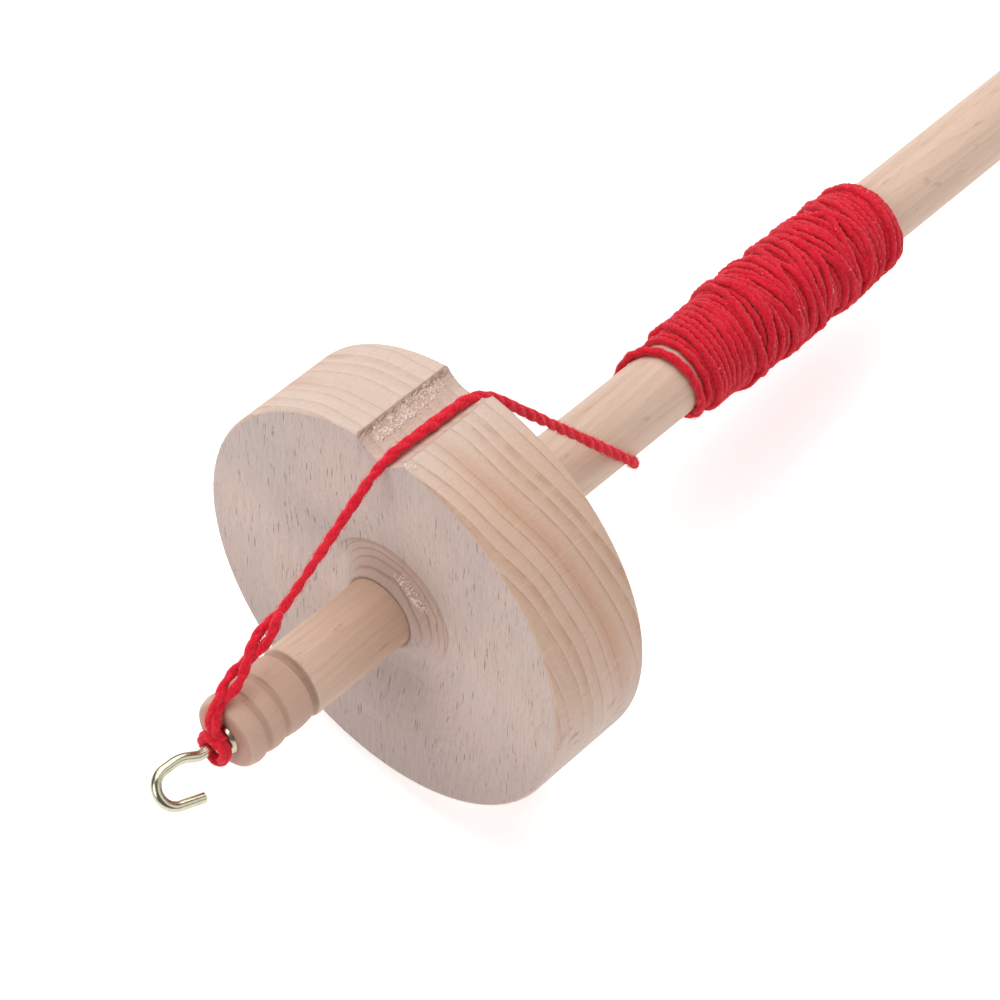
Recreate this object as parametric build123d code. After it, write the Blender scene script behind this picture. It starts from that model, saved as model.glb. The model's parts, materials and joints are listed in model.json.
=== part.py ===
"""Drop spindle: a beech disc (the whorl) on a beech dowel, with a brass screw hook and red yarn.

The parts are modelled along the shaft's own axis: +X runs along the shaft to its plain far end,
the origin is the centre of the whorl, and +Z is up. Each part is then laid down as a spindle lies
on a table: the back rim of the whorl and the far end of the shaft touch the ground, z = 0.
Positions round the shaft are degrees from the top, growing towards the front (-Y).
"""
from build123d import *
import math
import os

# ---------------------------------------------------------------- driving dimensions, millimetres
SHAFT_DIAMETER = 12.7
SHAFT_LENGTH = 300.0
WHORL_DIAMETER = 75.0
WHORL_THICKNESS = 20.5
HOOK_WIRE_DIAMETER = 1.8
YARN_DIAMETER = 1.6

# ---------------------------------------------------------------- sizes that follow from them
SHAFT_RADIUS = SHAFT_DIAMETER / 2
WHORL_RADIUS = WHORL_DIAMETER / 2
WHORL_HALF = WHORL_THICKNESS / 2
WIRE_RADIUS = HOOK_WIRE_DIAMETER / 2
YARN_RADIUS = YARN_DIAMETER / 2

TIP_BEYOND_WHORL = 35.0
TIP_X = -(WHORL_HALF + TIP_BEYOND_WHORL)
FAR_X = TIP_X + SHAFT_LENGTH
TIP_ROUND = 1.3
FAR_ROUND = 1.0
BEAD_DROP = 0.2
# each turned groove: distance from the tip, width, depth
GROOVES = [(4.1, 1.3, 0.55), (8.1, 1.3, 0.55), (14.1, 1.5, 0.9)]

RIM_ROUND = 0.6
BOSS_TOP_RADIUS = 7.0
COVE_BOTTOM_RADIUS = 11.4
COVE_OUTER_RADIUS = 25.0
COVE_DEPTH = 2.6
NOTCH_ANGLE = -5.1
NOTCH_DEPTH = 3.2
NOTCH_CUTTER_RADIUS = 5.6

THREAD_LENGTH = 10.0
THREAD_PITCH = 1.25
THREAD_ROOT_RADIUS = 0.62
PILOT_CLEARANCE = 0.05
COLLAR_RADIUS = 3.0
COLLAR_HEIGHT = 1.0
COLLAR_WALL = 0.4
COLLAR_GAP = 0.1
HOOK_ROLL = -50.0

COP_START_X = 62.3
COP_END_X = 114.8
HITCH_START = 1.55
HITCH_LENGTH = 3.2
HITCH_RADIUS = 2.7
YARN_GAP = 0.1
TWIST_RADIUS = YARN_RADIUS + 0.05
TWIST_LENGTH = 16.0
TWIST_TURNS = 1.0
TWIST_STEPS = 12


# ---------------------------------------------------------------- helpers
def around(x, radius, angle):
    """Point at a place along the shaft, a distance from its axis and an angle from the top."""
    turn = math.radians(angle)
    return Vector(x, -radius * math.sin(turn), radius * math.cos(turn))


def turned(outline):
    """Solid of revolution about the shaft's axis from a closed outline in (x, radius)."""
    with BuildPart() as lathe:
        with BuildSketch(Plane.XY):
            with BuildLine():
                outline()
            make_face()
        revolve(axis=Axis.X)
    return lathe.part


def lying_pose():
    """Location that lays the spindle on the back rim of its whorl and the far end of its shaft."""
    rim_x = WHORL_HALF - RIM_ROUND
    rim_r = WHORL_RADIUS - RIM_ROUND
    end_x = FAR_X - FAR_ROUND
    end_r = SHAFT_RADIUS - FAR_ROUND
    tilt = math.atan((rim_r - end_r) / (end_x - rim_x))
    height = rim_x * math.sin(tilt) + rim_r * math.cos(tilt) + RIM_ROUND
    return Location((0, 0, height), (0, math.degrees(tilt), 0))


def corner_radii(points, tightest):
    """Arc radius at each inner corner: as large as its shorter run allows, or as given."""
    radii = []
    for index in range(1, len(points) - 1):
        before = points[index] - points[index - 1]
        after = points[index + 1] - points[index]
        half_turn = math.radians(before.get_angle(after)) / 2
        radius = 0.45 * min(before.length, after.length) / math.tan(half_turn)
        radii.append(min(radius, tightest.get(index, radius)))
    return radii


def cord(name, points, tightest=None):
    """Round tube along straight runs that are joined by tangent arcs."""
    radii = corner_radii(points, tightest or {})
    path = FilletPolyline(*points, radius=radii)
    section = Plane(origin=path @ 0, z_dir=path % 0) * Circle(YARN_RADIUS)
    tube = sweep(section, path)
    expected = math.pi * YARN_RADIUS**2 * path.length
    print(f"{name}: length {path.length:.1f}, smallest arc {min(radii):.1f}, "
          f"volume {tube.volume / expected:.3f} of section x length")
    return tube


# ---------------------------------------------------------------- wooden parts
def make_shaft():
    """Dowel with three turned grooves, a bead beside each, and a pilot hole for the thread."""
    shoulder = SHAFT_RADIUS - BEAD_DROP

    def outline():
        Line((TIP_X, 0), (TIP_X, shoulder - TIP_ROUND))
        RadiusArc((TIP_X, shoulder - TIP_ROUND), (TIP_X + TIP_ROUND, shoulder), TIP_ROUND)
        start = TIP_X + TIP_ROUND
        for distance, width, depth in GROOVES:
            low = TIP_X + distance - width / 2
            high = low + width
            ThreePointArc((start, shoulder), ((start + low) / 2, SHAFT_RADIUS), (low, shoulder))
            ThreePointArc((low, shoulder), ((low + high) / 2, SHAFT_RADIUS - depth),
                          (high, shoulder))
            start = high
        Line((start, shoulder), (start + BEAD_DROP, SHAFT_RADIUS))
        Line((start + BEAD_DROP, SHAFT_RADIUS), (FAR_X - FAR_ROUND, SHAFT_RADIUS))
        RadiusArc((FAR_X - FAR_ROUND, SHAFT_RADIUS), (FAR_X, SHAFT_RADIUS - FAR_ROUND), FAR_ROUND)
        Line((FAR_X, SHAFT_RADIUS - FAR_ROUND), (FAR_X, 0))
        Line((FAR_X, 0), (TIP_X, 0))

    pilot_length = THREAD_LENGTH + 1.0
    pilot = Cylinder(WIRE_RADIUS + PILOT_CLEARANCE, pilot_length, rotation=(0, 90, 0),
                     align=(Align.CENTER, Align.CENTER, Align.MIN))
    return turned(outline) - Location((TIP_X, 0, 0)) * pilot


def make_whorl():
    """Disc with a bored centre, a shallow cove round a small boss, and a yarn notch in its rim."""
    front = -WHORL_HALF
    back = WHORL_HALF
    cove_x = front + COVE_DEPTH

    def outline():
        Line((front, SHAFT_RADIUS), (front, BOSS_TOP_RADIUS))
        Spline((front, BOSS_TOP_RADIUS), (cove_x, COVE_BOTTOM_RADIUS), (front, COVE_OUTER_RADIUS),
               tangents=[(1, 1), (-0.05, 1), (-0.08, 1)])
        Line((front, COVE_OUTER_RADIUS), (front, WHORL_RADIUS - RIM_ROUND))
        RadiusArc((front, WHORL_RADIUS - RIM_ROUND), (front + RIM_ROUND, WHORL_RADIUS), RIM_ROUND)
        Line((front + RIM_ROUND, WHORL_RADIUS), (back - RIM_ROUND, WHORL_RADIUS))
        RadiusArc((back - RIM_ROUND, WHORL_RADIUS), (back, WHORL_RADIUS - RIM_ROUND), RIM_ROUND)
        Line((back, WHORL_RADIUS - RIM_ROUND), (back, SHAFT_RADIUS))
        Line((back, SHAFT_RADIUS), (front, SHAFT_RADIUS))

    cutter_place = around(0, WHORL_RADIUS - NOTCH_DEPTH + NOTCH_CUTTER_RADIUS, NOTCH_ANGLE)
    cutter = Cylinder(NOTCH_CUTTER_RADIUS, 2 * WHORL_THICKNESS, rotation=(0, 90, 0))
    return turned(outline) - Location(cutter_place) * cutter


# ---------------------------------------------------------------- brass hook
def make_hook():
    """One brass wire: a pointed screw thread in the wood, a straight neck and an open hook."""
    def threaded_shank():
        end_x = TIP_X + THREAD_LENGTH
        Line((TIP_X, 0), (TIP_X, WIRE_RADIUS))
        ridges = int((THREAD_LENGTH - THREAD_PITCH) / THREAD_PITCH)
        for ridge in range(ridges):
            crest = TIP_X + ridge * THREAD_PITCH
            valley = crest + THREAD_PITCH / 2
            Line((crest, WIRE_RADIUS), (valley, THREAD_ROOT_RADIUS))
            Line((valley, THREAD_ROOT_RADIUS), (crest + THREAD_PITCH, WIRE_RADIUS))
        Line((TIP_X + ridges * THREAD_PITCH, WIRE_RADIUS), (end_x, 0))
        Line((end_x, 0), (TIP_X, 0))

    # corners of the bent wire: distance beyond the tip, and sideways in the hook's own plane
    corners = [(0, 0), (5.2, 0), (8.2, 1.75), (15.0, 1.95), (14.4, -3.5), (8.3, -5.5)]
    bends = [3.5, 6.0, 2.95, 3.0]
    route = [Vector(TIP_X - reach, 0, side) for reach, side in corners]
    wire = FilletPolyline(*route, radius=bends)
    section = Plane(origin=wire @ 0, z_dir=wire % 0) * Circle(WIRE_RADIUS)
    return Rotation(HOOK_ROLL, 0, 0) * (sweep(section, wire) + turned(threaded_shank))


def make_hook_collar():
    """Small brass cup on the wire, its rim against the end of the shaft."""
    rim_x = TIP_X - COLLAR_GAP
    top_x = rim_x - COLLAR_HEIGHT

    def outline():
        Line((rim_x, COLLAR_RADIUS), (rim_x, COLLAR_RADIUS - COLLAR_WALL))
        ThreePointArc((rim_x, COLLAR_RADIUS - COLLAR_WALL), (top_x + 1.6 * COLLAR_WALL, 2.0),
                      (top_x + COLLAR_WALL, WIRE_RADIUS))
        Line((top_x + COLLAR_WALL, WIRE_RADIUS), (top_x, WIRE_RADIUS))
        ThreePointArc((top_x, WIRE_RADIUS), (top_x + 0.5 * COLLAR_WALL, 2.1),
                      (rim_x, COLLAR_RADIUS))

    return turned(outline)


# ---------------------------------------------------------------- yarn
RIM_POINT = around(TIP_X + 0.3, SHAFT_RADIUS + YARN_RADIUS + 0.15, -12)
BED_RADIUS = WHORL_RADIUS - NOTCH_DEPTH + YARN_RADIUS + 0.8
NOTCH_FRONT = around(-WHORL_HALF - 0.4, BED_RADIUS, -3.2)
NOTCH_BACK = around(WHORL_HALF + 0.4, BED_RADIUS, -2.7)
# where the turns round the shaft pass: angle round the shaft, place along it
TURN_ANGLES = [78, 105, 210, 270, 310, 336, 353, 400, 470, 560]
TURN_PLACES = [41.3, 43.9, 52.4, 56.2, 57.6, 58.6, 59.2, 60.0, 60.8, 63.0]


def twisted_strand(phase):
    """One of two strands twisted round each other, from the tip of the shaft to the tail's end."""
    ahead = (NOTCH_FRONT - RIM_POINT).normalized()
    side = ahead.cross(Vector(0, 0, 1)).normalized()
    over = side.cross(ahead)
    points = []
    for step in range(TWIST_STEPS + 1):
        share = step / TWIST_STEPS
        turn = math.radians(phase + 360 * TWIST_TURNS * share)
        offset = side * (TWIST_RADIUS * math.cos(turn)) + over * (TWIST_RADIUS * math.sin(turn))
        points.append(RIM_POINT + ahead * (TWIST_LENGTH * share) + offset)
    return points


def turn_place(angle):
    """Place along the shaft of the yarn at an angle, straight between the listed passes."""
    for index in range(1, len(TURN_ANGLES)):
        if angle <= TURN_ANGLES[index]:
            low = TURN_ANGLES[index - 1]
            share = (angle - low) / (TURN_ANGLES[index] - low)
            return TURN_PLACES[index - 1] + share * (TURN_PLACES[index] - TURN_PLACES[index - 1])
    return TURN_PLACES[-1]


def turns_on_shaft():
    """Points of the loose turns that the yarn takes round the shaft on its way to the cop."""
    radius = SHAFT_RADIUS + YARN_RADIUS + YARN_GAP
    step = 25
    points = []
    for angle in range(TURN_ANGLES[0], TURN_ANGLES[-1] + 1, step):
        points.append(around(turn_place(angle), radius / math.cos(math.radians(step / 2)), angle))
    return points


def down_to_hitch(side):
    """The two points by which a strand comes down the end of the shaft to the hook's neck."""
    return [around(TIP_X - 2.6, 2.3, side), around(TIP_X - 1.3, 5.3, side * 0.6 - 5)]


def make_yarn_lead():
    """Tight yarn from the hook's neck, over the notch and round the shaft to the cop."""
    points = down_to_hitch(8) + twisted_strand(0)
    points += [NOTCH_FRONT, NOTCH_BACK] + turns_on_shaft()
    front = points.index(NOTCH_FRONT)
    return cord("yarn_lead", points, {front: 3.0, front + 1: 3.0})


def make_yarn_tail():
    """Free end of the yarn, twisted back round the lead."""
    return cord("yarn_tail", down_to_hitch(-40) + twisted_strand(180))


def make_yarn_hitch():
    """Outer shape of the hitch round the hook's neck."""
    low_x = TIP_X - HITCH_START
    high_x = low_x - HITCH_LENGTH
    hole = WIRE_RADIUS + 0.06

    def outline():
        Line((low_x, hole), (high_x, hole))
        Line((high_x, hole), (high_x, HITCH_RADIUS - YARN_RADIUS))
        RadiusArc((high_x, HITCH_RADIUS - YARN_RADIUS), (high_x + YARN_RADIUS, HITCH_RADIUS),
                  YARN_RADIUS)
        Line((high_x + YARN_RADIUS, HITCH_RADIUS), (low_x - YARN_RADIUS, HITCH_RADIUS))
        RadiusArc((low_x - YARN_RADIUS, HITCH_RADIUS), (low_x, HITCH_RADIUS - YARN_RADIUS),
                  YARN_RADIUS)
        Line((low_x, HITCH_RADIUS - YARN_RADIUS), (low_x, hole))

    return turned(outline)


def make_yarn_cop():
    """Outer shape of the wound yarn, thickest towards its far end."""
    def outline():
        Line((COP_START_X, SHAFT_RADIUS), (COP_START_X, SHAFT_RADIUS + 1.2))
        Spline((COP_START_X, SHAFT_RADIUS + 1.2), (72, 8.7), (92, 9.3), (107, 9.2),
               (COP_END_X, SHAFT_RADIUS + 2.1))
        Line((COP_END_X, SHAFT_RADIUS + 2.1), (COP_END_X, SHAFT_RADIUS))
        Line((COP_END_X, SHAFT_RADIUS), (COP_START_X, SHAFT_RADIUS))

    return turned(outline)


# ---------------------------------------------------------------- assembly
MAKERS = {
    "shaft": make_shaft,
    "whorl": make_whorl,
    "hook": make_hook,
    "hook_collar": make_hook_collar,
    "yarn_cop": make_yarn_cop,
    "yarn_lead": make_yarn_lead,
    "yarn_tail": make_yarn_tail,
    "yarn_hitch": make_yarn_hitch,
}


def main():
    """Make every part, lay it down over the origin and write it to its own STEP file."""
    os.makedirs("parts", exist_ok=True)
    pose = lying_pose()
    laid = {name: pose * maker() for name, maker in MAKERS.items()}
    low_x = min(shape.bounding_box().min.X for shape in laid.values())
    high_x = max(shape.bounding_box().max.X for shape in laid.values())
    centring = Location((-(low_x + high_x) / 2, 0, 0))
    for label, x in (("tip", TIP_X), ("far end", FAR_X)):
        print(f"{label}: {(centring * pose * Location((x, 0, 0))).position}")
    for name, shape in laid.items():
        shape = centring * shape
        box = shape.bounding_box()
        print(f"{name}: volume {shape.volume:.1f}, valid {shape.is_valid}, "
              f"solids {len(shape.solids())}, from {box.min.X:.1f},{box.min.Y:.1f},{box.min.Z:.1f} "
              f"to {box.max.X:.1f},{box.max.Y:.1f},{box.max.Z:.1f}")
        export_step(shape, f"parts/{name}.step")


main()
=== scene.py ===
"""Looks of a beech drop spindle with a brass cup hook and a wound red woollen yarn.

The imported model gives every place. The wood and the brass keep their CAD shapes and get their
finishes here; the yarn, its fuzz and the torn wood are modelled here.
"""

import json
import logging
import math
from dataclasses import dataclass, field
from enum import Enum

import bpy
import numpy as np
from mathutils import Euler, Matrix, Vector, noise


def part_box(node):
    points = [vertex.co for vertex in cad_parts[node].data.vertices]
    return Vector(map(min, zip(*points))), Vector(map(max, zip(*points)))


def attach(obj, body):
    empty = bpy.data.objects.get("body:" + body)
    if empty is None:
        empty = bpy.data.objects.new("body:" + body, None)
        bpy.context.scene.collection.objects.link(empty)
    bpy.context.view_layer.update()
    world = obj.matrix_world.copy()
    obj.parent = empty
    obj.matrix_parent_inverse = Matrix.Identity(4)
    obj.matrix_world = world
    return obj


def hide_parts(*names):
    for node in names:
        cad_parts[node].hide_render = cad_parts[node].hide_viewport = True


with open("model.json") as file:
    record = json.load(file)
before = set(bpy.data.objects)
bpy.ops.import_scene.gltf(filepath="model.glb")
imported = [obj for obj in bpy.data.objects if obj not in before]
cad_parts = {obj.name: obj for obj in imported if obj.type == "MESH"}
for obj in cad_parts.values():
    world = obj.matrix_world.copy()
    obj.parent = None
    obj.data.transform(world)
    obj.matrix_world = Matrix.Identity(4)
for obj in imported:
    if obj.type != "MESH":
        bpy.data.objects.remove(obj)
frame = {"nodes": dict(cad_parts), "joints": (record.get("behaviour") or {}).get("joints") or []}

LOG = logging.getLogger("spindle")
MM = 0.001


class Body(Enum):
    """The body that the modelled pieces ride on."""

    SPINDLE = "spindle"


class Slot(Enum):
    """The record's material slots of the modelled pieces."""

    WHORL = "whorl_wood"
    YARN = "yarn"


class Sawn(Enum):
    """How the beech of a part was cut, which decides where the grain runs."""

    DOWEL = "dowel"
    BOARD = "board"


# ---------------------------------------------------------------- places
@dataclass(frozen=True)
class ShaftLine:
    """The shaft's axis: places along it are in millimetres from the whorl's centre.

    Attributes:
        centre: Centre of the whorl, in metres.
        ahead: Direction from the tip towards the far end.
        tip_place: Place of the tip along the axis, in millimetres.
    """

    centre: Vector
    ahead: Vector
    tip_place: float

    @classmethod
    def from_model(cls, joint: dict) -> "ShaftLine":
        """Reads the line from the hook's joint and the whorl's box.

        Args:
            joint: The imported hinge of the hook, which lies on the shaft's axis.

        Returns:
            The line of the shaft.
        """
        tip = Vector(joint["pos_m"])
        ahead = -Vector(joint["axis"]).normalized()
        low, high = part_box("whorl")
        along = ((low + high) / 2 - tip).dot(ahead)
        return cls(tip + ahead * along, ahead, -along / MM)

    @property
    def side(self) -> Vector:
        """Direction across the shaft, level with the table."""
        return Vector((0, 1, 0))

    @property
    def over(self) -> Vector:
        """Direction square to the shaft, away from the table."""
        return self.ahead.cross(self.side).normalized()

    def around(self, place: float, radius: float, angle: float) -> Vector:
        """Point at a place along the shaft, a distance from its axis and an angle from the top.

        Args:
            place: Millimetres from the whorl's centre, towards the far end.
            radius: Millimetres from the axis.
            angle: Degrees from the top, growing towards the front.

        Returns:
            The point in metres.
        """
        turn = math.radians(angle)
        off = self.side * (-radius * math.sin(turn)) + self.over * (radius * math.cos(turn))
        return self.centre + (self.ahead * place + off) * MM

    def outward(self, angle: float, place: float = 0.0, radius: float = 1.0) -> Vector:
        """Direction away from the axis at an angle, leaning along it where a place is given."""
        return (self.around(place, radius, angle) - self.centre).normalized()

    def frame_turn(self, lean: float = 0.0) -> Euler:
        """Turn of a pattern whose X runs along the shaft and whose Z leans in the whorl's face.

        Args:
            lean: Degrees by which Z leans away from the front.

        Returns:
            The turn as Euler angles.
        """
        turn = math.radians(lean)
        across = self.side * math.cos(turn) - self.over * math.sin(turn)
        grain = self.over * math.cos(turn) + self.side * math.sin(turn)
        return Matrix((self.ahead, across, grain)).transposed().to_euler()


# ---------------------------------------------------------------- finishes
class Wire:
    """A value in a finish's nodes, which takes part in sums."""

    def __init__(self, tree: "Finish", socket: bpy.types.NodeSocket) -> None:
        """Wraps an output socket of a node in that finish."""
        self.tree = tree
        self.socket = socket

    def other(self, name: str) -> "Wire":
        """Another output of the same node."""
        return Wire(self.tree, self.socket.node.outputs[name])

    def sum(self, kind: str, *terms: "float | Wire") -> "Wire":
        """Adds a Math node of that kind over the terms."""
        return self.tree.node("ShaderNodeMath", {"operation": kind}, dict(enumerate(terms)))

    def __add__(self, term: "float | Wire") -> "Wire":
        """This value plus the term."""
        return self.sum("ADD", self, term)

    __radd__ = __add__

    def __mul__(self, term: "float | Wire") -> "Wire":
        """This value times the term."""
        return self.sum("MULTIPLY", self, term)

    __rmul__ = __mul__

    def __sub__(self, term: "float | Wire") -> "Wire":
        """This value less the term."""
        return self.sum("SUBTRACT", self, term)

    def __rsub__(self, term: "float | Wire") -> "Wire":
        """The term less this value."""
        return self.sum("SUBTRACT", term, self)

    def __truediv__(self, term: "float | Wire") -> "Wire":
        """This value over the term."""
        return self.sum("DIVIDE", self, term)

    def __pow__(self, term: "float | Wire") -> "Wire":
        """This value to the power of the term."""
        return self.sum("POWER", self, term)

    def part_of_one(self) -> "Wire":
        """What is left of this value after its whole part."""
        return self.sum("FRACT", self)

    def size(self) -> "Wire":
        """This value without its sign."""
        return self.sum("ABSOLUTE", self)

    def rise(self, low: float, high: float) -> "Wire":
        """Grows smoothly from 0 at low to 1 at high, or falls where low is above high."""
        if low > high:
            return 1 - self.rise(high, low)
        settings = {"interpolation_type": "SMOOTHSTEP"}
        return self.tree.node("ShaderNodeMapRange", settings,
                              {"Value": self, "From Min": low, "From Max": high})


class Finish:
    """The nodes of one material."""

    def __init__(self, name: str) -> None:
        """Starts an empty material of that name."""
        self.material = bpy.data.materials.new(name)
        self.material.use_nodes = True
        self.nodes = self.material.node_tree.nodes
        self.links = self.material.node_tree.links
        self.nodes.clear()

    def node(self, kind: str, settings: dict | None = None, values: dict | None = None,
             out: int | str = 0) -> Wire:
        """Adds a node.

        Args:
            kind: The node's type.
            settings: What is set on the node itself; "stops" are a ramp's places and colours.
            values: Numbers, colours or wires for its sockets, by name or number.
            out: Which output is wanted.

        Returns:
            That output.
        """
        made = self.nodes.new(kind)
        for key, value in (settings or {}).items():
            if key == "stops":
                while len(made.color_ramp.elements) < len(value):
                    made.color_ramp.elements.new(1.0)
                for element, (place, colour) in zip(made.color_ramp.elements, value):
                    element.position = place
                    element.color = (*colour, 1.0)
            else:
                setattr(made, key, value)
        for key, value in (values or {}).items():
            if isinstance(value, Wire):
                self.links.new(value.socket, made.inputs[key])
            else:
                made.inputs[key].default_value = value
        return Wire(self, made.outputs[out]) if made.outputs else Wire(self, made.inputs[0])

    def spot(self, centre: Vector, turn: Euler) -> Wire:
        """Millimetres from a centre, in the directions that a turn gives."""
        here = self.node("ShaderNodeTexCoord", out="Object")
        return self.node("ShaderNodeMapping", {"vector_type": "TEXTURE"},
                         {"Vector": here, "Location": centre, "Rotation": turn,
                          "Scale": (MM, MM, MM)})

    def parts(self, spot: Wire) -> tuple[Wire, Wire, Wire]:
        """The three numbers of a vector."""
        first = self.node("ShaderNodeSeparateXYZ", values={0: spot})
        return first, first.other("Y"), first.other("Z")

    def joined(self, first: "float | Wire", second: "float | Wire",
               third: "float | Wire") -> Wire:
        """A vector of three numbers."""
        return self.node("ShaderNodeCombineXYZ", values={0: first, 1: second, 2: third})

    def stretched(self, spot: Wire, x: float, y: float, z: float) -> Wire:
        """A vector whose three directions are scaled."""
        return self.node("ShaderNodeVectorMath", {"operation": "MULTIPLY"},
                         {0: spot, 1: (x, y, z)})

    def noise(self, spot: Wire, scale: float, detail: float = 2.0, rough: float = 0.5) -> Wire:
        """Cloudy noise from 0 to 1."""
        return self.node("ShaderNodeTexNoise", {}, {"Vector": spot, "Scale": scale,
                                                    "Detail": detail, "Roughness": rough})

    def grain(self, spot: Wire, stretch: tuple[float, float, float], detail: float = 2.0,
              rough: float = 0.5) -> Wire:
        """Cloudy noise over a vector that is scaled first."""
        return self.noise(self.stretched(spot, *stretch), 1.0, detail, rough)

    def cells(self, spot: Wire) -> Wire:
        """Distance to the nearest of scattered points."""
        return self.node("ShaderNodeTexVoronoi", {"feature": "F1"},
                         {"Vector": spot, "Scale": 1.0})

    def tint(self, share: "float | Wire", first: "tuple | Wire", second: "tuple | Wire") -> Wire:
        """Goes from the first colour to the second by a share."""
        colours = [c if isinstance(c, Wire) else (*c, 1.0) for c in (first, second)]
        return self.node("ShaderNodeMix", {"data_type": "RGBA", "blend_type": "MIX"},
                         {0: share, 6: colours[0], 7: colours[1]}, out=2)

    def coats(self, colour: "tuple | Wire", *coats: tuple) -> Wire:
        """Lays thin coats over a colour.

        Args:
            colour: The colour below.
            coats: The share and the colour of each coat, in the order in which they are laid.

        Returns:
            The colour on top.
        """
        for share, coat in coats:
            colour = self.tint(share, colour, coat)
        return colour

    def bump(self, height: Wire, depth: float) -> Wire:
        """A normal bent by a height, whose depth is in metres."""
        return self.node("ShaderNodeBump", {}, {"Height": height, "Strength": 1.0,
                                                "Distance": depth})

    def surface(self, values: dict) -> bpy.types.Material:
        """Ends the finish in one shader with those values, and returns the material."""
        shader = self.node("ShaderNodeBsdfPrincipled", {}, values)
        self.node("ShaderNodeOutputMaterial", {}, {"Surface": shader})
        return self.material


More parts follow.
